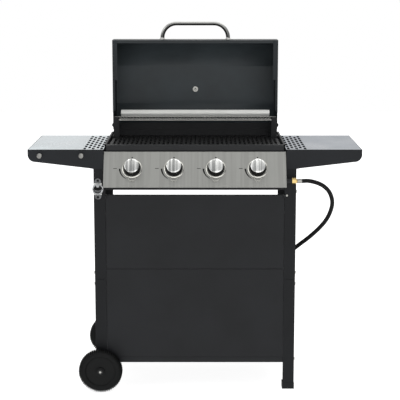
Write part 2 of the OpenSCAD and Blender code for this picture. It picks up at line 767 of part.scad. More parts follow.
// Point at parameter s on a smooth curve through the route
function route_at(i) = hose_route[min(max(i, 0), len(hose_route) - 1)];
function hose_point(s) = let (i = floor(s), f = s - i,
    a = route_at(i - 1), b = route_at(i), c = route_at(i + 1), d = route_at(i + 2))
    0.5 * (2 * b + (c - a) * f + (2 * a - 5 * b + 4 * c - d) * f * f + (3 * b - a - 3 * c + d) * f * f * f);
function unit(v) = v / norm(v);
function hose_tangent(s) = unit(hose_point(min(s + 0.02, len(hose_route) - 1)) - hose_point(max(s - 0.02, 0)));

// Hose swept along its route
module gas_hose() {
    sides = 10;
    steps = 2;
    rings = (len(hose_route) - 1) * steps;
    points = [for (k = [0:rings]) let (
        s = k / steps,
        t = hose_tangent(s),
        across = unit(cross(t, [0, 1, 0])),
        up = cross(across, t))
        for (j = [0:sides - 1]) hose_point(s)
            + hose_d / 2 * (cos(j * 360 / sides) * across + sin(j * 360 / sides) * up)];
    walls = [for (k = [0:rings - 1]) for (j = [0:sides - 1]) let (n = (j + 1) % sides)
        for (f = [[k * sides + j, k * sides + n, (k + 1) * sides + n],
            [k * sides + j, (k + 1) * sides + n, (k + 1) * sides + j]]) f];
    color([0.1, 0.1, 0.1]) from_front() polyhedron(points, concat(walls,
        [[for (j = [sides - 1:-1:0]) j]], [[for (j = [0:sides - 1]) rings * sides + j]]));
}

// Brass union nut on the manifold's end
module hose_nut() {
    x0 = panel_half_w + 20;
    color([0.75, 0.67, 0.45]) from_front() {
        translate([x0, manifold_y, manifold_z]) rotate([0, 90, 0]) cylinder(h = 14, r = 11, $fn = 6);
        rod_x(manifold_y, manifold_z, x0 + 14, x0 + 18, 7);
    }
}

// Crimped ferrule between the nut and the hose
module hose_ferrule() {
    x0 = panel_half_w + 38;
    color([0.6, 0.6, 0.58]) from_front() rod_x(manifold_y, manifold_z, x0, hose_route[0][0], 8);
}

// Regulator that lies on the bottom shelf, with the hand nut for a gas bottle
module regulator() {
    last = hose_route[len(hose_route) - 1];
    x = last[0] - 54;
    z = last[2];
    color([0.55, 0.55, 0.56]) from_front() {
        rod_x(last[1], z, x + 20, last[0], hose_d / 2);
        translate([x, last[1], bottom_shelf_z + 5]) cylinder(h = 26, r = 30);
        translate([x, last[1], bottom_shelf_z + 0.2]) cylinder(h = 10, r = 20);
        translate([x, last[1], bottom_shelf_z + 31]) cylinder(h = 8, r = 18);
        rod_x(last[1], z, x - 50, x - 20, 8);
        difference() {
            rod_x(last[1], z, x - 72, x - 44, 19);
            rod_x(last[1], z, x - 73, x - 54, inlet_r);
        }
    }
}

leg_upper(-1, false);  // leg_upper_front_left
leg_upper(1, false);  // leg_upper_front_right
leg_upper(-1, true);  // leg_upper_rear_left
leg_upper(1, true);  // leg_upper_rear_right
leg_lower(-1, false);  // leg_lower_front_left
leg_lower(1, false);  // leg_lower_front_right
leg_lower(-1, true);  // leg_lower_rear_left
leg_lower(1, true);  // leg_lower_rear_right
leg_splices();
front_panel(panel_seam_z + 0.5, panel_top_z);  // front_panel_upper
front_panel(bottom_shelf_z + 0.3, panel_seam_z - 0.5);  // front_panel_lower
bottom_shelf();
cart_rails();
foot_caps();
firebox_front();
firebox_rear();
firebox_ends();
firebox_floor();
hinge_brackets();
burners();
flame_tamers();
spark_electrodes();
cooking_grate(-1);  // cooking_grate_left
cooking_grate(1);  // cooking_grate_right
warming_rack();
gas_manifold();
gas_valves();
valve_stem(1);  // valve_stem_1
valve_stem(2);  // valve_stem_2
valve_stem(3);  // valve_stem_3
valve_stem(4);  // valve_stem_4
knob(1);  // knob_1
knob(2);  // knob_2
knob(3);  // knob_3
knob(4);  // knob_4
knob_cap(1);  // knob_cap_1
knob_cap(2);  // knob_cap_2
knob_cap(3);  // knob_cap_3
knob_cap(4);  // knob_cap_4
control_panel();
knob_bezels();
lid_skin();
lid_ends();
lid_handle();
thermometer();
shelf_top(-1);  // shelf_top_left
shelf_top(1);  // shelf_top_right
shelf_frame(-1);  // shelf_frame_left
shelf_frame(1);  // shelf_frame_right
tool_pegs();
bottle_opener();
axle();
wheel(-8 - wheel_w);  // wheel_front
wheel(cart_d + 8);  // wheel_rear
drip_tray();
fasteners();
gas_hose();
hose_nut();
hose_ferrule();
regulator();
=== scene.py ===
"""Looks of the gas barbecue grill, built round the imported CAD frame.

Lengths in the helpers are in millimetres from the shelves' front edge, as in the CAD source:
X to the user's right, Y towards the back, Z up from the floor.
"""
from math import cos, floor, pi, radians, sin, sqrt

import bmesh
import bpy
from mathutils import Matrix, Vector


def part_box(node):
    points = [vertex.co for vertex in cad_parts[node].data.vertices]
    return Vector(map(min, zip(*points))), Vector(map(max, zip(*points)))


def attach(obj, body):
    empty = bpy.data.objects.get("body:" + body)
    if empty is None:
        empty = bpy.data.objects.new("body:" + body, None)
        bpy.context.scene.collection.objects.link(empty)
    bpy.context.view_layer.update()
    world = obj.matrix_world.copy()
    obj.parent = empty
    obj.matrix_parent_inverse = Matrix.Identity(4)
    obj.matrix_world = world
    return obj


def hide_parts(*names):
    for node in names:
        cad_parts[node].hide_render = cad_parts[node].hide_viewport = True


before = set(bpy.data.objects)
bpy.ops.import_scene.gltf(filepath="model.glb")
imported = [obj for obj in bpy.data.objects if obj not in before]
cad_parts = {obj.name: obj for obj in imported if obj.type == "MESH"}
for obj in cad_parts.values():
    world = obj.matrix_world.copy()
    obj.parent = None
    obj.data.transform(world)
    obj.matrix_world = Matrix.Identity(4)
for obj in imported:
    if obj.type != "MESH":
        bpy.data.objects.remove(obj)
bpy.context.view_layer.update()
MM = 0.001
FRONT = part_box("shelf_frame_left")[0][1]  # the shelves' front edge
CART = "cart"


def at(x, y, z):
    """A point in the row frame, in metres."""
    return Vector((x * MM, FRONT + y * MM, z * MM))


def node_box(node):
    """A node's corners in millimetres, with Y from the shelves' front edge."""
    lo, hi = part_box(node)
    low = (lo[0] / MM, (lo[1] - FRONT) / MM, lo[2] / MM)
    high = (hi[0] / MM, (hi[1] - FRONT) / MM, hi[2] / MM)
    return low, high


# ---------------------------------------------------------------- camera and light

CAMERA_AT = (17.5, -4255, 1437)
CAMERA_DOWN = 10.07
cam_data = bpy.data.cameras.new("camera")
cam_data.lens = 112.5
cam_data.sensor_width = 36
camera = bpy.data.objects.new("camera", cam_data)
camera.location = at(*CAMERA_AT)
camera.rotation_euler = (radians(90 - CAMERA_DOWN), 0, 0)
bpy.context.scene.collection.objects.link(camera)
bpy.context.scene.camera = camera

scene = bpy.context.scene
scene.view_settings.view_transform = "Standard"


def make_studio():
    """White studio: bright behind and above the object, calmer in front of it and low down."""
    world = bpy.data.worlds.new("studio")
    scene.world = world
    world.use_nodes = True
    tree = world.node_tree
    coords = tree.nodes.new("ShaderNodeTexCoord")
    axes = tree.nodes.new("ShaderNodeSeparateXYZ")
    tree.links.new(coords.outputs["Generated"], axes.inputs["Vector"])
    depth = tree.nodes.new("ShaderNodeValToRGB")
    depth.color_ramp.elements[0].position = 0.30
    depth.color_ramp.elements[0].color = (0.34, 0.35, 0.36, 1)
    depth.color_ramp.elements[1].position = 0.62
    depth.color_ramp.elements[1].color = (1.0, 1.0, 1.0, 1)
    shift = tree.nodes.new("ShaderNodeMath")
    shift.operation = "MULTIPLY_ADD"
    shift.inputs[1].default_value = 0.5
    shift.inputs[2].default_value = 0.5
    tree.links.new(axes.outputs["Y"], shift.inputs[0])
    tree.links.new(shift.outputs["Value"], depth.inputs["Fac"])
    height = tree.nodes.new("ShaderNodeValToRGB")
    height.color_ramp.elements[0].position = 0.5
    height.color_ramp.elements[0].color = (0, 0, 0, 1)
    height.color_ramp.elements[1].position = 1.0
    height.color_ramp.elements[1].color = (1, 1, 1, 1)
    tree.links.new(axes.outputs["Z"], height.inputs["Fac"])
    mix = tree.nodes.new("ShaderNodeMix")
    mix.data_type = "RGBA"
    tree.links.new(height.outputs["Color"], mix.inputs["Factor"])
    tree.links.new(depth.outputs["Color"], mix.inputs[6])
    mix.inputs[7].default_value = (1.0, 1.0, 1.0, 1)
    tree.links.new(mix.outputs[2], tree.nodes["Background"].inputs["Color"])
    tree.nodes["Background"].inputs["Strength"].default_value = 1.0


def soft_sun(name, place, spread, power):
    """A wide, soft directional lamp that shines from place to the object."""
    data = bpy.data.lights.new(name, "SUN")
    data.angle = radians(spread)
    data.energy = power
    lamp = bpy.data.objects.new(name, data)
    lamp.location = at(*place)
    lamp.rotation_euler = (at(0, 200, 700) - lamp.location).to_track_quat("-Z", "Y").to_euler()
    scene.collection.objects.link(lamp)


make_studio()
soft_sun("key", (-4200, -1700, 2600), 40, 0.7)
soft_sun("top", (500, 1400, 5000), 80, 1.3)
soft_sun("fill", (900, -5000, 1500), 50, 0.9)

# ---------------------------------------------------------------- materials


def linear(r, g, b):
    """A colour given as 0 to 255 screen values, as the shader takes it."""
    def one(v):
        v /= 255
        return v / 12.92 if v <= 0.04045 else ((v + 0.055) / 1.055) ** 2.4
    return (one(r), one(g), one(b), 1.0)


def new_material(name, metallic=0.0, specular=0.5):
    """A principled material and short ways to its node tree."""
    mat = bpy.data.materials.new(name)
    mat.use_nodes = True
    tree = mat.node_tree
    shader = tree.nodes["Principled BSDF"]
    shader.inputs["Metallic"].default_value = metallic
    shader.inputs["Specular IOR Level"].default_value = specular
    return mat, tree, shader


def add_node(tree, kind, **inputs):
    """A node with its inputs set by name."""
    node = tree.nodes.new(kind)
    for key, value in inputs.items():
        node.inputs[key.replace("_", " ")].default_value = value
    return node


def noise_of(tree, scale, detail=3.0, stretch=(1, 1, 1)):
    """A noise over the object's own coordinates, in metres, stretched along its axes."""
    coords = tree.nodes.new("ShaderNodeTexCoord")
    mapping = add_node(tree, "ShaderNodeMapping", Scale=stretch)
    noise = add_node(tree, "ShaderNodeTexNoise", Scale=scale, Detail=detail)
    tree.links.new(coords.outputs["Object"], mapping.inputs["Vector"])
    tree.links.new(mapping.outputs["Vector"], noise.inputs["Vector"])
    return noise.outputs["Fac"]


def ramp_of(tree, source, low, high, at_low=0.35, at_high=0.65):
    """A colour that goes from low to high with the source."""
    ramp = tree.nodes.new("ShaderNodeValToRGB")
    ramp.color_ramp.elements[0].position = at_low
    ramp.color_ramp.elements[0].color = low
    ramp.color_ramp.elements[1].position = at_high
    ramp.color_ramp.elements[1].color = high
    tree.links.new(source, ramp.inputs["Fac"])
    return ramp.outputs["Color"]


def range_of(tree, source, low, high):
    """A number that goes from low to high with the source."""
    node = add_node(tree, "ShaderNodeMapRange")
    node.inputs["From Min"].default_value = 0.3
    node.inputs["From Max"].default_value = 0.7
    node.inputs["To Min"].default_value = low
    node.inputs["To Max"].default_value = high
    tree.links.new(source, node.inputs["Value"])
    return node.outputs["Result"]


def bump_of(tree, shader, sources, distance):
    """Bumps stacked on the shader's normal: sources are (height, strength)."""
    last = None
    for height, strength in sources:
        bump = add_node(tree, "ShaderNodeBump", Strength=strength, Distance=distance)
        tree.links.new(height, bump.inputs["Height"])
        if last:
            tree.links.new(last, bump.inputs["Normal"])
        last = bump.outputs["Normal"]
    tree.links.new(last, shader.inputs["Normal"])


def scaled(colour, k):
    return tuple(c * k for c in colour[:3]) + (1.0,)


def tint_base(tree, shader, source, colour, dark, light):
    """The base colour, from dark to light times the colour, with the source."""
    tint = ramp_of(tree, source, scaled(colour, dark), scaled(colour, light))
    tree.links.new(tint, shader.inputs["Base Color"])


def powder_coat(name, colour, rough=0.5, specular=0.35, grain=900, depth=0.00012):
    """Baked powder paint: an orange-peel skin with faint cloudiness."""
    mat, tree, shader = new_material(name, specular=specular)
    cloud = noise_of(tree, 7, 4)
    peel = noise_of(tree, grain, 2)
    tint_base(tree, shader, cloud, colour, 0.82, 1.15)
    tree.links.new(range_of(tree, cloud, rough - 0.05, rough + 0.06), shader.inputs["Roughness"])
    bump_of(tree, shader, [(peel, 0.5)], depth)
    return mat


def coat_with_painted_rim_shade(name, colour, shade_z):
    """The lid's powder paint with painted shade: darker along the rim band above the given height, in
    metres.
    """
    mat = powder_coat(name, colour, rough=0.45, specular=0.25)
    tree = mat.node_tree
    base = tree.nodes["Principled BSDF"].inputs["Base Color"]
    paint = base.links[0].from_socket
    coords = tree.nodes.new("ShaderNodeTexCoord")
    axes = tree.nodes.new("ShaderNodeSeparateXYZ")
    tree.links.new(coords.outputs["Object"], axes.inputs["Vector"])
    # Painted shade: the base colour drops to 0.4 times above the rim line.
    rim_shade = add_node(tree, "ShaderNodeMapRange")
    rim_shade.inputs["From Min"].default_value = shade_z - 0.001
    rim_shade.inputs["From Max"].default_value = shade_z + 0.001
    rim_shade.inputs["To Min"].default_value = 1.0
    rim_shade.inputs["To Max"].default_value = 0.4
    tree.links.new(axes.outputs["Z"], rim_shade.inputs["Value"])
    shade = tree.nodes.new("ShaderNodeVectorMath")
    shade.operation = "SCALE"
    tree.links.new(paint, shade.inputs[0])
    tree.links.new(rim_shade.outputs["Result"], shade.inputs["Scale"])
    tree.links.new(shade.outputs["Vector"], base)
    return mat


def brushed(name, colour, rough=0.3, along=0, depth=0.00004, metallic=1.0):
    """Brushed steel: fine lines that run along one axis, and soft patches."""
    mat, tree, shader = new_material(name, metallic=metallic)
    stretch = [1.0, 1.0, 1.0]
    stretch[along] = 0.012
    lines = noise_of(tree, 1400, 4, stretch)
    bands = noise_of(tree, 160, 2, stretch)
    patches = noise_of(tree, 6, 3)
    tint_base(tree, shader, lines, colour, 0.88, 1.1)
    tree.links.new(range_of(tree, patches, rough - 0.05, rough + 0.08), shader.inputs["Roughness"])
    bump_of(tree, shader, [(lines, 0.5), (bands, 0.25)], depth)
    return mat


def streaks_and_painted_sheen(name, dark, bright, rough=0.22):
    """Brushed metal: broad light and dark streaks that change along X, over fine lines. On the knob caps
    the broad streaks are painted reflections.
    """
    mat, tree, shader = new_material(name, metallic=1.0)
    broad = noise_of(tree, 110, 3, (1, 0.02, 0.02))
    lines = noise_of(tree, 1300, 3, (1, 0.012, 0.012))
    tree.links.new(ramp_of(tree, broad, dark, bright, 0.4, 0.58), shader.inputs["Base Color"])
    tree.links.new(range_of(tree, lines, rough - 0.05, rough + 0.08), shader.inputs["Roughness"])
    bump_of(tree, shader, [(lines, 0.4)], 0.00003)
    return mat


def tube_with_painted_shade(name, colour, rough=0.2):
    """Drawn steel tube with painted shade: darker on the side that faces down towards the lid."""
    mat, tree, shader = new_material(name, metallic=1.0)
    coords = tree.nodes.new("ShaderNodeTexCoord")
    axes = tree.nodes.new("ShaderNodeSeparateXYZ")
    tree.links.new(coords.outputs["Normal"], axes.inputs["Vector"])
    side = add_node(tree, "ShaderNodeMapRange")
    side.inputs["From Min"].default_value = -1.0
    tree.links.new(axes.outputs["Z"], side.inputs["Value"])
    # Painted shade: faces that point down are darkened to a twentieth of the colour.
    tint = ramp_of(tree, side.outputs["Result"], scaled(colour, 0.05), colour, 0.47, 0.7)
    tree.links.new(tint, shader.inputs["Base Color"])
    lines = noise_of(tree, 1100, 3, (0.02, 1, 1))
    tree.links.new(range_of(tree, lines, rough - 0.04, rough + 0.07), shader.inputs["Roughness"])
    bump_of(tree, shader, [(lines, 0.3)], 0.00003)
    return mat


def plated(name, colour, rough=0.16):
    """Polished or satin plating with faint smears."""
    mat, tree, shader = new_material(name, metallic=1.0)
    smear = noise_of(tree, 40, 5, (1, 1, 0.3))
    fine = noise_of(tree, 700, 2)
    tint_base(tree, shader, smear, colour, 0.92, 1.06)
    tree.links.new(range_of(tree, smear, rough - 0.04, rough + 0.08), shader.inputs["Roughness"])
    bump_of(tree, shader, [(fine, 0.2)], 0.00002)
    return mat


def plastic(name, colour, rough=0.42, specular=0.45, grain=1300, depth=0.00008):
    """Moulded plastic or rubber with a fine spark-eroded grain."""
    mat, tree, shader = new_material(name, specular=specular)
    grains = noise_of(tree, grain, 3)
    cloud = noise_of(tree, 16, 3)
    tint_base(tree, shader, cloud, colour, 0.8, 1.25)
    tree.links.new(range_of(tree, cloud, rough - 0.05, rough + 0.07), shader.inputs["Roughness"])
    bump_of(tree, shader, [(grains, 0.6)], depth)
    return mat


def cast(name, colour, rough=0.5, specular=0.4, pits=420, metallic=0.0, depth=0.0002):
    """Cast or enamelled metal: pitted and uneven."""
    mat, tree, shader = new_material(name, metallic=metallic, specular=specular)
    rough_skin = noise_of(tree, pits, 5)
    cloud = noise_of(tree, 22, 4)
    tint_base(tree, shader, cloud, colour, 0.7, 1.3)
    tree.links.new(range_of(tree, rough_skin, rough - 0.1, rough + 0.12), shader.inputs["Roughness"])
    bump_of(tree, shader, [(rough_skin, 0.6)], depth)
    return mat


M = {
    "leg": powder_coat("leg_paint", linear(22, 23, 25), specular=0.15),
    "panel": powder_coat("panel_paint", linear(26, 27, 29), specular=0.18),
    "fascia": powder_coat("fascia_paint", linear(26, 28, 31), specular=0.18),
    "lid_end": powder_coat("lid_end_paint", linear(32, 36, 39), rough=0.5, specular=0.2),
    # The lid skin is painted much lighter than the other black parts, as painted light on the open lid's
    # inside, with painted shade along its rim.
    "lid": coat_with_painted_rim_shade("lid_paint_painted_light_and_rim_shade", linear(58, 64, 67), (node_box("lid_skin")[1][2] - 11) * MM),
    "box": powder_coat("firebox_paint", linear(20, 21, 23), rough=0.55, specular=0.3),
    "panel_steel": streaks_and_painted_sheen("panel_steel", linear(156, 156, 152), linear(164, 164, 160), 0.36),
    # Both shelf tops are the same steel: the left is painted lighter and the right darker, as painted
    # reflections of the surroundings.
    "shelf_left": brushed("shelf_left_steel", linear(190, 197, 200), 0.3, along=1),
    "shelf_right": brushed("shelf_right_steel", linear(128, 134, 142), 0.3, along=1),
    "rack": brushed("rack_plating", linear(207, 207, 203), 0.42, along=0, metallic=0.55),
    "chrome": plated("chrome", linear(168, 167, 164), 0.22),
    "handle": tube_with_painted_shade("handle_steel", linear(176, 176, 173)),
    # The knob caps' broad streaks, from mid grey to near white, are painted reflections.
    "cap": streaks_and_painted_sheen("knob_cap_steel_painted_reflections", linear(168, 169, 167), linear(246, 246, 243)),
    "bezel": brushed("bezel_steel", linear(204, 203, 196), 0.24, along=0),
    "wire": plated("wire_plating", linear(156, 155, 151), 0.34),
    "bars": plated("wire_plating_dull", linear(96, 96, 94), 0.4),
    "peg": plated("peg_plating", linear(126, 125, 122), 0.3),
    "zinc": plated("zinc_plating", linear(168, 167, 162), 0.32),
    "burner": brushed("burner_steel", linear(150, 146, 138), 0.4, along=1),
    "iron": cast("enamelled_iron", linear(13, 13, 14), 0.5, 0.3),
    "opener": cast("opener_metal", linear(152, 153, 154), 0.24, 0.5, metallic=1.0),
    "opener_plate": cast("opener_plate_metal", linear(98, 99, 100), 0.3, 0.5, metallic=1.0),
    "regulator": cast("regulator_zinc", linear(146, 147, 149), 0.42, 0.5, metallic=0.9),
    "brass": plated("brass", linear(208, 182, 122), 0.26),
    "plastic": plastic("black_plastic", linear(20, 20, 21)),
    "grip": plastic("knob_plastic", linear(7, 7, 7), 0.5, 0.15),
    "wheel": plastic("wheel_plastic", linear(9, 10, 10), 0.5, 0.15, 900, 0.00012),
    "hose": plastic("hose_rubber", linear(10, 10, 10), 0.6, 0.15, 1100, 0.0001),
    "ceramic": plastic("ceramic", linear(226, 222, 210), 0.25, 0.5),
    "ink": plastic("printed_ink", linear(12, 12, 12), 0.6, 0.1),
    "dial": plastic("dial_face", linear(232, 232, 228), 0.5, 0.3),
    "needle": plastic("needle_red", linear(168, 34, 26), 0.4, 0.4),
}

# ---------------------------------------------------------------- building helpers


class Builder:
    """Collects solids into one mesh, in millimetres, then makes the piece."""

    def __init__(self):
        self.bm = bmesh.new()

    def loft(self, rings, closed_ends=True):
        """Skins rings of equal length into a tube."""
        made = [[self.bm.verts.new(p) for p in ring] for ring in rings]
        n = len(made[0])
        for a, b in zip(made, made[1:]):
            for i in range(n):
                self.bm.faces.new((a[i], a[(i + 1) % n], b[(i + 1) % n], b[i]))
        if closed_ends:
            self.bm.faces.new(list(reversed(made[0])))
            self.bm.faces.new(made[-1])

    def lathe(self, profile, place, segments=48, shape=None):
        """Turns (radius, height) points round local Z. shape changes a radius by angle and height."""
        rings = []
        for r, h in profile:
            ring = []
            for i in range(segments):
                a = 2 * pi * i / segments
                k = shape(r, h, a) if shape else r
                ring.append(place @ Vector((k * cos(a), k * sin(a), h)))
            rings.append(ring)
        self.loft(rings)

    def ring_lathe(self, profile, place, segments=48, shape=None):
        """Turns a closed profile round local Z, for a piece with a hole."""
        made = []
        for r, h in profile:
            ring = []
            for i in range(segments):
                a = 2 * pi * i / segments
                k = shape(r, h, a) if shape else r
                ring.append(self.bm.verts.new(place @ Vector((k * cos(a), k * sin(a), h))))
            made.append(ring)
        for a, b in zip(made, made[1:] + made[:1]):
            for i in range(segments):
                j = (i + 1) % segments
                self.bm.faces.new((a[i], a[j], b[j], b[i]))

    def prism(self, outline, low, high, place):
        """Extrudes an outline of (x, y) points along local Z."""
        self.loft([[place @ Vector((x, y, z)) for x, y in outline] for z in (low, high)])

    def tube(self, points, radius, segments=16):
        """Sweeps a round section along points, in millimetres from the shelf edge."""
        rings = []
        side = None
        for i, p in enumerate(points):
            before, after = points[max(i - 1, 0)], points[min(i + 1, len(points) - 1)]
            along = (Vector(after) - Vector(before)).normalized()
            if side is None:
                side = along.orthogonal().normalized()
            side = (side - side.dot(along) * along).normalized()
            up = along.cross(side)
            angles = [2 * pi * k / segments for k in range(segments)]
            rings.append([Vector(p) + radius * (cos(a) * side + sin(a) * up) for a in angles])
        self.loft(rings)

    def make(self, name, material, body=CART, slot=None, stands_for=(), bevel=0.0, sharp=32, segments=2):
        """Makes the piece, and says what it rides on and the CAD nodes it stands for; slot is not used."""
        bm = self.bm
        bmesh.ops.recalc_face_normals(bm, faces=bm.faces)
        to_frame = Matrix.Translation((0, FRONT, 0)) @ Matrix.Scale(MM, 4)
        bmesh.ops.transform(bm, matrix=to_frame, verts=bm.verts)
        mesh = bpy.data.meshes.new(name)
        bm.to_mesh(mesh)
        bm.free()
        return finish_piece(name, mesh, material, body, stands_for, bevel, sharp, segments)


def finish_piece(name, mesh, material, body, stands_for, bevel, sharp, segments=2):
    """Shades a mesh, rounds its edges and ties it to its body."""
    mesh.polygons.foreach_set("use_smooth", [True] * len(mesh.polygons))
    mesh.set_sharp_from_angle(angle=radians(sharp))
    mesh.materials.clear()
    mesh.materials.append(M[material])
    piece = bpy.data.objects.new(name, mesh)
    scene.collection.objects.link(piece)
    if bevel:
        edge = piece.modifiers.new("edges", "BEVEL")
        edge.width = bevel * MM
        edge.segments = segments
        edge.limit_method = "ANGLE"
        edge.angle_limit = radians(sharp)
        edge.harden_normals = True
    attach(piece, body)
    if stands_for:
        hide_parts(*stands_for)
    return piece


def refine(node, material, bevel=0.5, sharp=32, segments=2):
    """Keeps a CAD node, gives it a material and rounds its edges."""
    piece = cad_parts[node]
    for place in piece.material_slots:
        place.material = M[material]
    weld = piece.modifiers.new("weld", "WELD")
    weld.merge_threshold = 0.002 * MM
    flats = piece.modifiers.new("flats", "DECIMATE")
    flats.decimate_type = "DISSOLVE"
    flats.angle_limit = radians(0.6)
    edge = piece.modifiers.new("edges", "BEVEL")
    edge.width = bevel * MM
    edge.segments = segments
    edge.limit_method = "ANGLE"
    edge.angle_limit = radians(sharp)
    edge.harden_normals = True


def along_y(x, y, z, back=True):
    """A place whose local Z runs along Y, towards the back or the front."""
    turn = Matrix.Rotation(radians(-90 if back else 90), 4, "X")
    return Matrix.Translation((x, y, z)) @ turn


def along_x(x, y, z, right=True):
    """A place whose local Z runs along X, to the right or the left."""
    turn = Matrix.Rotation(radians(90 if right else -90), 4, "Y")
    return Matrix.Translation((x, y, z)) @ turn


def upright(x, y, z):
    """A place whose local Z runs up."""
    return Matrix.Translation((x, y, z))


def hexagon(radius, turn=0):
    """Corners of a hexagon, turned by some degrees."""
    return [(radius * cos(radians(60 * k + turn)), radius * sin(radians(60 * k + turn))) for k in range(6)]


# ---------------------------------------------------------------- gas hose

HOSE_D = 14.5
HOSE_ROUTE = [
    (367, -25, 752), (392, -25, 752), (424, -20, 743), (449, -10, 727), (467, 0, 704),
    (476, 10, 671), (471, 25, 635), (456, 42, 599), (430, 62, 563), (399, 80, 530),
    (368, 98, 501), (336, 118, 468), (308, 140, 426), (290, 164, 378), (282, 190, 326),
    (279, 216, 274), (275, 243, 224), (263, 266, 178), (240, 281, 148), (212, 286, 138),
    (186, 286, 137),
]
MANIFOLD = (-25, 752)  # Y and Z of the supply pipe


def smooth_route(points, steps):
    """Points on the smooth curve through a route."""
    route = [Vector(p) for p in points]
    last = len(route) - 1
    made = []
    for k in range(last * steps + 1):
        i = min(floor(k / steps), last - 1)
        f = k / steps - i
        a, b, c, d = route[max(i - 1, 0)], route[i], route[i + 1], route[min(i + 2, last)]
        made.append(0.5 * (2 * b + (c - a) * f + (2 * a - 5 * b + 4 * c - d) * f * f
                           + (3 * b - a - 3 * c + d) * f * f * f))
    return made


def make_hose():
    """The hose with its nut, ferrule and regulator."""
    line = smooth_route(HOSE_ROUTE, 6)
    data = bpy.data.curves.new("gas_hose_line", "CURVE")
    data.dimensions = "3D"
    data.bevel_depth = HOSE_D / 2 * MM
    data.bevel_resolution = 8
    data.use_fill_caps = True
    spline = data.splines.new("POLY")
    spline.points.add(len(line) - 1)
    for point, p in zip(spline.points, line):
        point.co = (*at(*p), 1)
    spline.use_smooth = True
    data.materials.append(M["hose"])
    hose = bpy.data.objects.new("gas_hose_rubber", data)
    scene.collection.objects.link(hose)
    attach(hose, CART)
    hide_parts("gas_hose")

    y, z = MANIFOLD
    x0 = node_box("hose_nut")[0][0]
    nut = Builder()
    nut.prism(hexagon(11), 0, 14, along_x(x0, y, z))
    collar = [(0, 13.5), (7, 13.5), (7, 16), (6.2, 16.6), (6.2, 17.4), (7, 18), (0, 18)]
    nut.lathe(collar, along_x(x0, y, z))
    nut_piece = nut.make("hose_union_nut", "brass", slot="brass", stands_for=["hose_nut"], bevel=0.9)

    x0 = node_box("hose_ferrule")[0][0]
    ferrule = Builder()
    crimps = [(0, 0), (7.0, 0), (7.8, 0.8)]
    for i in range(4):
        crimps += [(8, 1.5 + 3.4 * i), (8, 3.2 + 3.4 * i), (7.5, 3.9 + 3.4 * i), (7.5, 4.3 + 3.4 * i)]
    crimps += [(8, 15.4), (7.3, 16), (0, 16)]
    ferrule.lathe(crimps, along_x(x0, y, z), 40)
    ferrule_piece = ferrule.make("hose_crimp_ferrule", "zinc", slot="fastener_zinc",
                                 stands_for=["hose_ferrule"])

    regulator_pieces = make_regulator()


def make_regulator():
    """Regulator lying on the bottom shelf, with its hand nut."""
    end_x, y, z = HOSE_ROUTE[-1]
    x = end_x - 54
    shelf = node_box("bottom_shelf")[1][2]
    body = Builder()
    drum = [(0, 0.3), (19, 0.3), (20, 1.2), (20, 5), (28, 6), (30, 8), (30, 15), (29, 16), (29, 17),
            (30, 18), (30, 27), (28.5, 29.5), (24, 31), (18, 31.5), (18, 37.5), (17, 38.6), (0, 38.6)]
    body.lathe(drum, upright(x, y, shelf), 56,
               lambda r, h, a: r - 0.5 * (cos(24 * a) > 0.3) if 19 < r and 17.5 < h < 28 else r)
    body.lathe([(0, 20), (8, 20), (8, 42), (7.4, 42.5), (7.4, 45), (8, 45.5), (8, 53), (0, 54)],
               along_x(x, y, z), 32)
    body.lathe([(0, 20), (8.1, 20), (8.1, 44.5), (0, 44.5)], along_x(x, y, z, right=False), 32)
    made = body.make("regulator_body", "regulator", slot="regulator_zinc", stands_for=["regulator"],
                     bevel=0.4)
    nut = Builder()
    grip = [(10.9, 54), (10.9, 72), (17.5, 72), (19, 70.5), (19, 46), (17.5, 44), (8.2, 44), (8.2, 54)]
    nut.ring_lathe(grip, along_x(x, y, z, right=False), 96,
                   lambda r, h, a: r - 1.1 * (0.5 + 0.5 * cos(12 * a)) ** 2 if r > 18 else r)
    nut_piece = nut.make("regulator_hand_nut", "plastic", slot="plastic_black")
    return [made, nut_piece]


make_hose()

# ---------------------------------------------------------------- cart

for corner in ("front_left", "front_right", "rear_left", "rear_right"):
    refine("leg_upper_" + corner, "leg", 0.8)
    refine("leg_lower_" + corner, "leg", 0.8)
refine("leg_splices", "leg", 0.5)
refine("front_panel_upper", "panel", 1.0)
refine("front_panel_lower", "panel", 1.0)
refine("bottom_shelf", "panel", 1.0)
refine("cart_rails", "leg", 0.6)
refine("foot_caps", "leg", 1.4, segments=3)

# ---------------------------------------------------------------- firebox and gas train

refine("firebox_front", "box", 0.6)
refine("firebox_rear", "box", 0.5)
refine("firebox_ends", "box", 0.6)
refine("firebox_floor", "box", 0.4)
refine("hinge_brackets", "box", 0.7)
refine("burners", "burner", 0.4)
refine("flame_tamers", "burner", 0.4)
refine("spark_electrodes", "ceramic", 0.3)
refine("cooking_grate_left", "iron", 1.1)
refine("cooking_grate_right", "iron", 1.1)
refine("gas_manifold", "box", 0.5)
refine("gas_valves", "brass", 0.5)
for i in (1, 2, 3, 4):
    refine(f"valve_stem_{i}", "brass", 0.3)
refine("drip_tray", "zinc", 0.4)

# ---------------------------------------------------------------- control panel and knobs

PANEL_LEAN = 30
PANEL_LOW = (-56, 734)
KNOB_UP = 70
KNOB_PITCH = 143.5
KNOB_R = 25.5
SKIRT_R = 28.5


def on_panel(i):
    """The place of knob 1 to 4: local Z out of the panel's face, local Y up its slope."""
    lean = radians(PANEL_LEAN)
    x = (i - 2.5) * KNOB_PITCH
    y = PANEL_LOW[0] + KNOB_UP * sin(lean)
    z = PANEL_LOW[1] + KNOB_UP * cos(lean)
    return Matrix.Translation((x, y, z)) @ Matrix.Rotation(radians(90 - PANEL_LEAN), 4, "X")


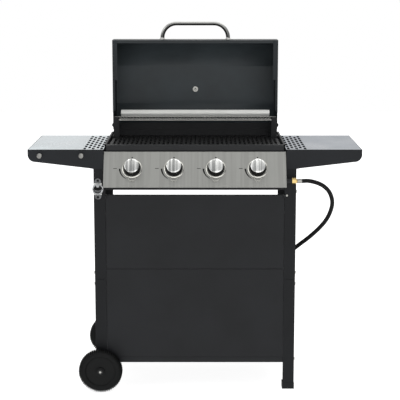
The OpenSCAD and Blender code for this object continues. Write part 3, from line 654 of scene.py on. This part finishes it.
def arc_band(r_at, width_at, a0, a1, steps):
    """Outline of a band along an arc, in degrees from local X."""
    angles = [radians(a0 + (a1 - a0) * k / steps) for k in range(steps + 1)]
    outer = [((r_at + width_at(k / steps) / 2) * cos(a), (r_at + width_at(k / steps) / 2) * sin(a))
             for k, a in enumerate(angles)]
    inner = [((r_at - width_at(k / steps) / 2) * cos(a), (r_at - width_at(k / steps) / 2) * sin(a))
             for k, a in enumerate(angles)]
    return outer + inner[::-1]


def disc(x, y, r):
    """Outline of a printed dot."""
    return [(x + r * cos(radians(18 * k)), y + r * sin(radians(18 * k))) for k in range(20)]


def make_knob(i):
    """One knob: fluted plastic body and metal cap. Returns the plated ring behind it, unmade."""
    place = on_panel(i)
    body = f"turning_knob_{i}"
    grip = Builder()
    grip.ring_lathe([(4.05, 4.5), (27.6, 4.5), (SKIRT_R, 5.4), (SKIRT_R, 7.2), (27.6, 9.4), (26.4, 12.2),
                     (KNOB_R, 14), (KNOB_R, 24.2), (KNOB_R - 0.8, 26), (12, 26), (12, 20.3), (4.05, 20.3)],
                    place, 144,
                    lambda r, h, a: r - 0.7 * max(0.0, cos(24 * a)) if r > 25 and 13 < h < 25 else r)
    grip.make(f"knob_{i}_grip", "grip", body, "plastic_black", [f"knob_{i}"], bevel=0.0, sharp=40)
    cap = Builder()
    dome = [(0, 26.05), (KNOB_R - 1.2, 26.05), (KNOB_R - 0.2, 26.6), (KNOB_R, 27.4),
            (KNOB_R - 0.3, 28.3), (KNOB_R - 1.1, 29), (KNOB_R - 2.6, 29.4), (20, 29.8),
            (16, 30.15), (11, 30.5), (6, 30.8), (0, 30.97)]
    cap.lathe(dome, place, 72)
    cap.make(f"knob_{i}_cap", "cap", body, "chrome", [f"knob_cap_{i}"], sharp=50)
    line = Builder()
    line.prism([(-0.8, 17.5), (0.8, 17.5), (1.1, 22), (0, 23.4), (-1.1, 22)], 29.2, 30.3, place)
    line.make(f"knob_{i}_pointer", "ink", body, "plastic_black")
    if i == 1:
        grip_mark = Builder()
        grip_mark.prism(arc_band(KNOB_R, lambda t: 0.7, 255, 285, 12), 19.4, 21.2, place)
        grip_mark.make(f"knob_{i}_grip_mark", "zinc", body, "chrome")

    ring = Builder()
    bead = [(30, 0.1), (30, 1.8), (30.5, 2.5), (31.4, 2.7), (32.6, 2.2), (34.2, 1.1), (35, 0.1)]
    ring.ring_lathe(bead, place, 96)
    rim = [(-16, -30.6), (-8, -46), (8, -46), (16, -30.6)]
    inner = [(-13.4, -32.2), (-6.8, -44), (6.8, -44), (13.4, -32.2)]
    for a, b in ((0, 1), (1, 2), (2, 3)):
        ring.prism([rim[a], rim[b], inner[b], inner[a]], 0.1, 1.9, place)
    return ring


def make_marks(builder, i):
    """Printed marks round a knob: off dot, high dash and the wedge that narrows to low."""
    place = on_panel(i)
    low, high = 0.02, 0.16
    builder.prism(disc(0, 39.8, 2.5), low, high, place)
    builder.prism([(-64.5, -0.9), (-52, -0.9), (-52, 0.9), (-64.5, 0.9)], low, high, place)
    builder.prism(arc_band(42.2, lambda t: 4.4 * (1 - t) + 1.6, 181, 240, 24), low, high, place)
    builder.prism(disc(0, -49, 0.9), low, high, place)


bezels = [make_knob(i) for i in (1, 2, 3, 4)]
for i, ring in enumerate(bezels, 1):
    stands_for = ["knob_bezels"] if i == 1 else ()
    ring.make(f"knob_bezel_{i}", "bezel", CART, "chrome", stands_for, bevel=0.2, sharp=40)
marks = Builder()
for i in (1, 2, 3, 4):
    make_marks(marks, i)
marks.make("panel_marks", "ink", CART, "plastic_black")
refine("control_panel", "panel_steel", 0.7)

# ---------------------------------------------------------------- lid

refine("lid_skin", "lid", 0.5, sharp=25)
refine("lid_ends", "lid_end", 0.5, sharp=25)

HINGE = (362, 900)  # Y and Z of the lid's hinge
THERMOMETER_Z = HINGE[1] + 119
LID_TOP = node_box("lid_skin")[1][2]
LID_BACK = node_box("lid_skin")[1][1]


def make_handle():
    """Bent steel tube with flared feet."""
    half, bend, y = 121, 52, HINGE[0] + 30
    foot = 6.5
    radius = 7.5
    path = []
    for side in (-1, 1):
        arc = [(side * (half - bend + bend * cos(a)), y, LID_TOP + foot + bend * sin(a))
               for a in (radians(7.5 * k) for k in range(13))]
        leg = [(side * half, y, LID_TOP + h) for h in (0.5, 3)]
        path += leg + arc if side < 0 else (leg + arc)[::-1]
    tube = Builder()
    tube.tube(path, radius, 28)
    tube.make("lid_handle_tube", "handle", "lid", "chrome", ["lid_handle"])
    feet = Builder()
    for side in (-1, 1):
        flare = [(0, 0), (11.5, 0), (11.5, 1.2), (10.6, 2.2), (9, 3.6), (8.1, 5.6), (7.7, 7.4), (0, 7.4)]
        feet.lathe(flare, upright(side * half, y, LID_TOP), 40)
    feet.make("lid_handle_feet", "chrome", "lid", "chrome")


def make_thermometer():
    """Dial outside the lid, and the stem with its nut inside."""
    place = along_y(0, LID_BACK, THERMOMETER_Z)
    case = Builder()
    case.lathe([(0, 0.2), (12, 0.2), (12, 3), (29, 3.4), (31.4, 4.6), (32, 6.5), (32, 12.4), (31.2, 13.8),
                (29.4, 13.9), (28.6, 12.6), (28.4, 11.2), (0, 11.2)], place, 72)
    case.make("thermometer_case", "chrome", "lid", "chrome", ["thermometer"])
    face = Builder()
    face.lathe([(0, 11.2), (28.2, 11.2), (28.2, 11.6), (0, 11.6)], place, 64)
    face.make("thermometer_face", "dial", "lid", "chrome")
    ticks = Builder()
    scale_place = place @ Matrix.Rotation(pi, 4, "X") @ Matrix.Translation((0, 0, -23.3))
    for k in range(31):
        a = radians(225 - 9 * k)
        r0, w = (20.5, 0.55) if k % 5 == 0 else (23.5, 0.3)
        c, s = cos(a), sin(a)
        quad = [(r0 * c - w * s, r0 * s + w * c), (26 * c - w * s, 26 * s + w * c),
                (26 * c + w * s, 26 * s - w * c), (r0 * c + w * s, r0 * s - w * c)]
        ticks.prism(quad, 11.55, 11.75, scale_place)
    ticks.make("thermometer_ticks", "ink", "lid", "plastic_black")
    needle = Builder()
    needle.prism([(-16, -13.2), (-14.4, -15), (3, 1.5), (1.6, 3.2)], 11.8, 12.3, place)
    needle.lathe([(0, 11.6), (2.6, 11.6), (2.6, 12.8), (1.8, 13.2), (0, 13.3)], place, 24)
    needle.make("thermometer_needle", "needle", "lid", "chrome")
    inner = Builder()
    stem = [(0, -34), (2.4, -34), (3.4, -33), (3.4, -9), (4.4, -8.5), (4.4, -0.5), (0, -0.5)]
    inner.lathe(stem, place, 28)
    inner.prism(hexagon(9.6, 15), -7.4, -2.6, place)
    inner.lathe([(0, -2.7), (10.5, -2.7), (10.5, -1.7), (0, -1.7)], place, 36)
    inner.make("thermometer_nut", "zinc", "lid", "chrome", bevel=0.4)


make_handle()
make_thermometer()

# ---------------------------------------------------------------- warming rack


RACK_PIVOT = (HINGE[0] + 20, HINGE[1] + 28)  # Y and Z of the rack's pivot wire
RACK_DEPTH = 110
RACK_HALF = 276
RACK_BARS = 46


def make_rack():
    """Wire grid with a folded guard strip at its rear."""
    low, high = node_box("warming_rack")
    pivot_y, pivot_z = RACK_PIVOT
    front_y = pivot_y - RACK_DEPTH
    half = RACK_HALF
    wires = Builder()
    wires.lathe([(0, 0), (2.2, 0), (2.5, 0.4), (2.5, high[0] - low[0] - 0.4), (2.2, high[0] - low[0]),
                 (0, high[0] - low[0])], along_x(low[0], pivot_y, pivot_z), 20)
    corner = 14
    bend = [(radians(7.5 * k)) for k in range(13)]
    front = [(-half, pivot_y - 3, pivot_z)]
    front += [(-half + corner - corner * cos(a), front_y + corner - corner * sin(a), pivot_z) for a in bend]
    front += [(half - corner + corner * sin(a), front_y + corner - corner * cos(a), pivot_z) for a in bend]
    front += [(half, pivot_y - 3, pivot_z)]
    wires.tube(front, 2.5, 16)
    middle_y = pivot_y - RACK_DEPTH / 2
    wires.tube([(-half, middle_y, pivot_z - 0.9), (half, middle_y, pivot_z - 0.9)], 1.6, 12)
    wires.make("warming_rack_wires", "wire", "rack", "rack_steel", ["warming_rack"])
    bars = Builder()
    for k in range(RACK_BARS):
        x = -half + 12 + k * (2 * half - 24) / (RACK_BARS - 1)
        bars.tube([(x, front_y + 0.4, pivot_z + 0.6), (x, pivot_y, pivot_z + 0.6)], 1.5, 10)
    bars.make("warming_rack_bars", "bars", "rack", "rack_steel")
    strip = Builder()
    top = pivot_z + 26.5
    fold = pivot_z + 12.5
    profile = [(0.6, pivot_z + 2.2), (-0.6, pivot_z + 2.2), (-2.5, fold - 0.6), (-2.5, fold + 0.6),
               (-0.7, top - 2), (0.4, top), (1.7, top - 0.4), (0.4, top - 2.6),
               (-1.3, fold + 0.6), (-1.3, fold - 0.6)]
    strip.loft([[(x, pivot_y + y, z) for y, z in profile] for x in (-half, half)])
    strip.make("warming_rack_guard", "rack", "rack", "rack_steel", bevel=0.2)


make_rack()

# ---------------------------------------------------------------- side shelves

refine("shelf_top_left", "shelf_left", 0.35)
refine("shelf_top_right", "shelf_right", 0.35)
refine("shelf_frame_left", "fascia", 0.7)
refine("shelf_frame_right", "fascia", 0.7)


PEG_X = (-533, -390)
PEG_Z = 837
OPENER = (-335, 720)  # X and Z of the bottle opener


def make_pegs():
    """Two turned pegs on the left fascia."""
    pegs = Builder()
    for x in PEG_X:
        pegs.lathe([(0, 0), (7, 0), (7, 1), (5, 1.8), (5, 12.6), (7.6, 13.8), (8.75, 15.2), (8.75, 17),
                    (7.8, 18.4), (5, 19), (0, 19)], along_y(x, 0, PEG_Z, back=False), 40)
    pegs.make("tool_pegs_turned", "peg", CART, "chrome", ["tool_pegs"])


def make_opener():
    """Bottle opener: a lobed plate, an arched hood round a near-black oval of painted shade in its mouth, a
    tooth, and two white bands of painted highlight.
    """
    place = along_y(OPENER[0], 2, OPENER[1], back=False)  # local Y points down
    plate = Builder()
    outline = []
    for cy, r, a0, a1 in ((-25, 12, 180, 360), (0, 19.5, -40, 40), (25, 12, 0, 180), (0, 19.5, 140, 220)):
        for k in range(9):
            a = radians(a0 + (a1 - a0) * k / 8)
            outline.append((r * cos(a), cy + r * sin(a)))
    plate.prism(outline, 0.05, 3, place)
    # Two white bands across the plate are painted highlights.
    bands = Builder()
    for s in (-1, 1):
        band = [(-13.5, s * 16), (13.5, s * 16), (13.5, s * 19.5), (-13.5, s * 19.5)]
        bands.prism(band, 2.9, 5.4, place)
    bands.make("bottle_opener_painted_highlight_bands", "dial", CART, "opener_grey", bevel=0.3)
    hood = Builder()
    for k in range(4):
        hood.prism(arc_band(17.2 - k * 0.5, lambda t: 3.6 + 1.2 * sin(pi * t), 180, 360, 30),
                   3 + 3.6 * k, 3 + 3.6 * (k + 1) + 0.05, place)
    hood.prism(arc_band(17.2, lambda t: 4.2, 0, 180, 30), 2.9, 8.5, place)
    hood.prism([(-6.5, 15.6), (6.5, 15.6), (3.6, 6), (-3.6, 6)], 6.5, 8.6, place)
    # A near-black oval under the hood is painted shade for the mouth.
    mouth = Builder()
    oval = [(14 * cos(radians(10 * k)), 2.5 + 8 * sin(radians(10 * k))) for k in range(36)]
    mouth.prism(oval, 2.9, 3.5, place)
    plate.make("bottle_opener_plate", "opener_plate", CART, "opener_grey", ["bottle_opener"], bevel=0.7)
    hood.make("bottle_opener_jaw", "opener", CART, "opener_grey", bevel=0.6)
    mouth.make("bottle_opener_mouth_painted_shade", "grip", CART, "opener_grey", bevel=0.2)


make_pegs()
make_opener()

# ---------------------------------------------------------------- wheels and axle

AXLE = (-332, 76.5)  # X and Z of the wheels' axle
LUGS = 60


def make_wheel(node, name, body):
    """Blow-moulded wheel: lugged tread, ribbed shoulder and a dished web."""
    low, high = node_box(node)
    half = (high[1] - low[1]) / 2
    place = along_y(AXLE[0], (low[1] + high[1]) / 2, AXLE[1])

    def lug(r, _height, a):
        if r < 69.5:
            return r
        wave = cos(LUGS * a)
        depth = 5.6 if r > 73 else 3.2
        return r - depth * (wave < 0.0)

    side = [(5.05, half), (13, half), (15, half - 1.2), (16.2, half - 5), (20, half - 6.4),
            (34, half - 7.2), (47, half - 7.6), (50.5, half - 6.2), (52.5, half - 3.4), (55, half - 1.4),
            (60, half - 0.5), (64, half - 1.4), (65, half - 1.0), (70, half - 1.6), (74.4, half - 3.4),
            (76.5, half - 6), (76.5, 1.2), (74, 0.9)]
    profile = side + [(r, -h) for r, h in side[::-1]]
    wheel = Builder()
    wheel.ring_lathe(profile, place, 512, lug)
    rib = [(56, -1.1), (70, -1.4), (70, 1.4), (56, 1.1)]
    for k in range(LUGS):
        turned = place @ Matrix.Rotation(2 * pi * k / LUGS, 4, "Z")
        for face in (-1, 1):
            wheel.prism(rib, face * (half - 4), face * (half - 0.1), turned)
    wheel.make(name, "wheel", body, "rubber_black", [node], sharp=30)


def make_axle():
    """Axle rod with domed end caps and spacers."""
    low, high = node_box("axle")
    rod = Builder()
    length = high[1] - low[1]
    start = along_y(AXLE[0], low[1], AXLE[1])
    rod.lathe([(0, 0), (3.2, 0), (4, 0.8), (4, 4.5), (4.95, 4.5), (4.95, length - 4.5), (4, length - 4.5),
               (4, length - 0.8), (3.2, length), (0, length)], start, 32)
    rod.make("axle_rod", "zinc", CART, "fastener_zinc", ["axle"])
    caps = Builder()
    cap = [(4.05, 0), (9, 0), (9, 1.2), (8.4, 2.4), (6.8, 3.4), (5.4, 3.8), (4.05, 3.8)]
    caps.ring_lathe(cap, along_y(AXLE[0], low[1] + 5.6, AXLE[1], back=False), 36)
    caps.ring_lathe(cap, along_y(AXLE[0], high[1] - 5.6, AXLE[1]), 36)
    front_gap = (node_box("wheel_front")[1][1] + 0.6, 2)
    rear_gap = (394, node_box("wheel_rear")[0][1] - 0.6)
    for y0, y1 in (front_gap, rear_gap):
        span = y1 - y0
        spacer = [(5.05, 0), (8.4, 0), (9, 0.6), (9, span - 0.6), (8.4, span), (5.05, span)]
        caps.ring_lathe(spacer, along_y(AXLE[0], y0, AXLE[1]), 32)
    caps.make("axle_caps_and_spacers", "plastic", CART, "fastener_zinc")


make_wheel("wheel_front", "wheel_front_moulded", "front_wheel")
make_wheel("wheel_rear", "wheel_rear_moulded", "rear_wheel")
make_axle()

# ---------------------------------------------------------------- fasteners


def hex_bolt(builder, place, across=9.0, height=3.5):
    """A flanged hexagon head."""
    r = across / sqrt(3)
    flange = [(0, 0), (across * 0.61, 0), (across * 0.61, 0.6), (across * 0.5, 1.2), (0, 1.2)]
    builder.lathe(flange, place, 28)
    builder.prism(hexagon(r), 1.0, height, place)


def pan_screw(builder, place, r):
    """A domed head with a cross recess left open between four quarters."""
    dome = [(0, 0), (r, 0), (r, r * 0.12), (r * 0.93, r * 0.26), (r * 0.7, r * 0.42),
            (r * 0.3, r * 0.46), (0, r * 0.42)]
    builder.lathe(dome, place, 32)
    for quarter in range(4):
        a0 = 90 * quarter + 16
        builder.prism([(r * k * cos(radians(a)), r * k * sin(radians(a)))
                       for k, a in ((0.22, a0 + 29), (0.58, a0), (0.62, a0 + 29), (0.58, a0 + 58))],
                      r * 0.4, r * 0.52, place)


def make_fasteners():
    """Leg bolts, panel and opener screws, and the lid's hinge bolts."""
    seam = node_box("leg_upper_front_left")[0][2]
    bolts = Builder()
    for y in (20, 376):
        for z in (106, seam - 20, seam + 20, 708):
            hex_bolt(bolts, along_x(350, y, z))
            hex_bolt(bolts, along_x(-350, y, z, right=False))
    bolts.make("leg_bolts", "zinc", CART, "fastener_zinc", ["fasteners"], bevel=0.25)
    screws = Builder()
    pan_screw(screws, along_y(318, 2, 697, back=False), 4)
    screws.make("panel_screw", "zinc", CART, "fastener_zinc", bevel=0.12)
    dark = Builder()
    for x in (-305, 305):
        pan_screw(dark, along_y(x, 3, 690, back=False), 3)
    for dz in (-29, 29):
        pan_screw(dark, along_y(OPENER[0], -1, OPENER[1] + dz, back=False), 4.5)
    dark.make("panel_and_opener_screws", "leg", CART, "fastener_zinc", bevel=0.1)
    hinge = Builder()
    for right in (True, False):
        s = 1 if right else -1
        place = along_x(s * 303, HINGE[0], HINGE[1], right)
        hinge.lathe([(0, -11), (3.95, -11), (3.95, 0.2), (0, 0.2)], place, 28)
        hinge.lathe([(0, 0.5), (7.2, 0.5), (7.2, 1.6), (6.2, 3.6), (4.4, 5.2), (2, 5.9), (0, 6)], place, 32)
        hinge.prism(hexagon(6.6), -12, -6, place)
    hinge.make("hinge_bolts", "box", CART, "firebox_paint", bevel=0.25)


make_fasteners()

# ---------------------------------------------------------------- floor

FLOOR_HALF = 9.0
floor_mesh = bpy.data.meshes.new("floor")
floor_mesh.from_pydata([(-FLOOR_HALF, -FLOOR_HALF, 0), (FLOOR_HALF, -FLOOR_HALF, 0),
                        (FLOOR_HALF, FLOOR_HALF, 0), (-FLOOR_HALF, FLOOR_HALF, 0)], [], [(0, 1, 2, 3)])
floor_piece = bpy.data.objects.new("floor", floor_mesh)
floor_mat, floor_tree, floor_shader = new_material("floor_paper", specular=0.1)
floor_shader.inputs["Roughness"].default_value = 0.9
floor_shader.inputs["Emission Color"].default_value = (1, 1, 1, 1)
floor_shader.inputs["Emission Strength"].default_value = 0.9
floor_tint = ramp_of(floor_tree, noise_of(floor_tree, 0.8, 2), (0.34, 0.34, 0.34, 1), (0.38, 0.38, 0.38, 1))
floor_tree.links.new(floor_tint, floor_shader.inputs["Base Color"])
floor_mesh.materials.append(floor_mat)
scene.collection.objects.link(floor_piece)
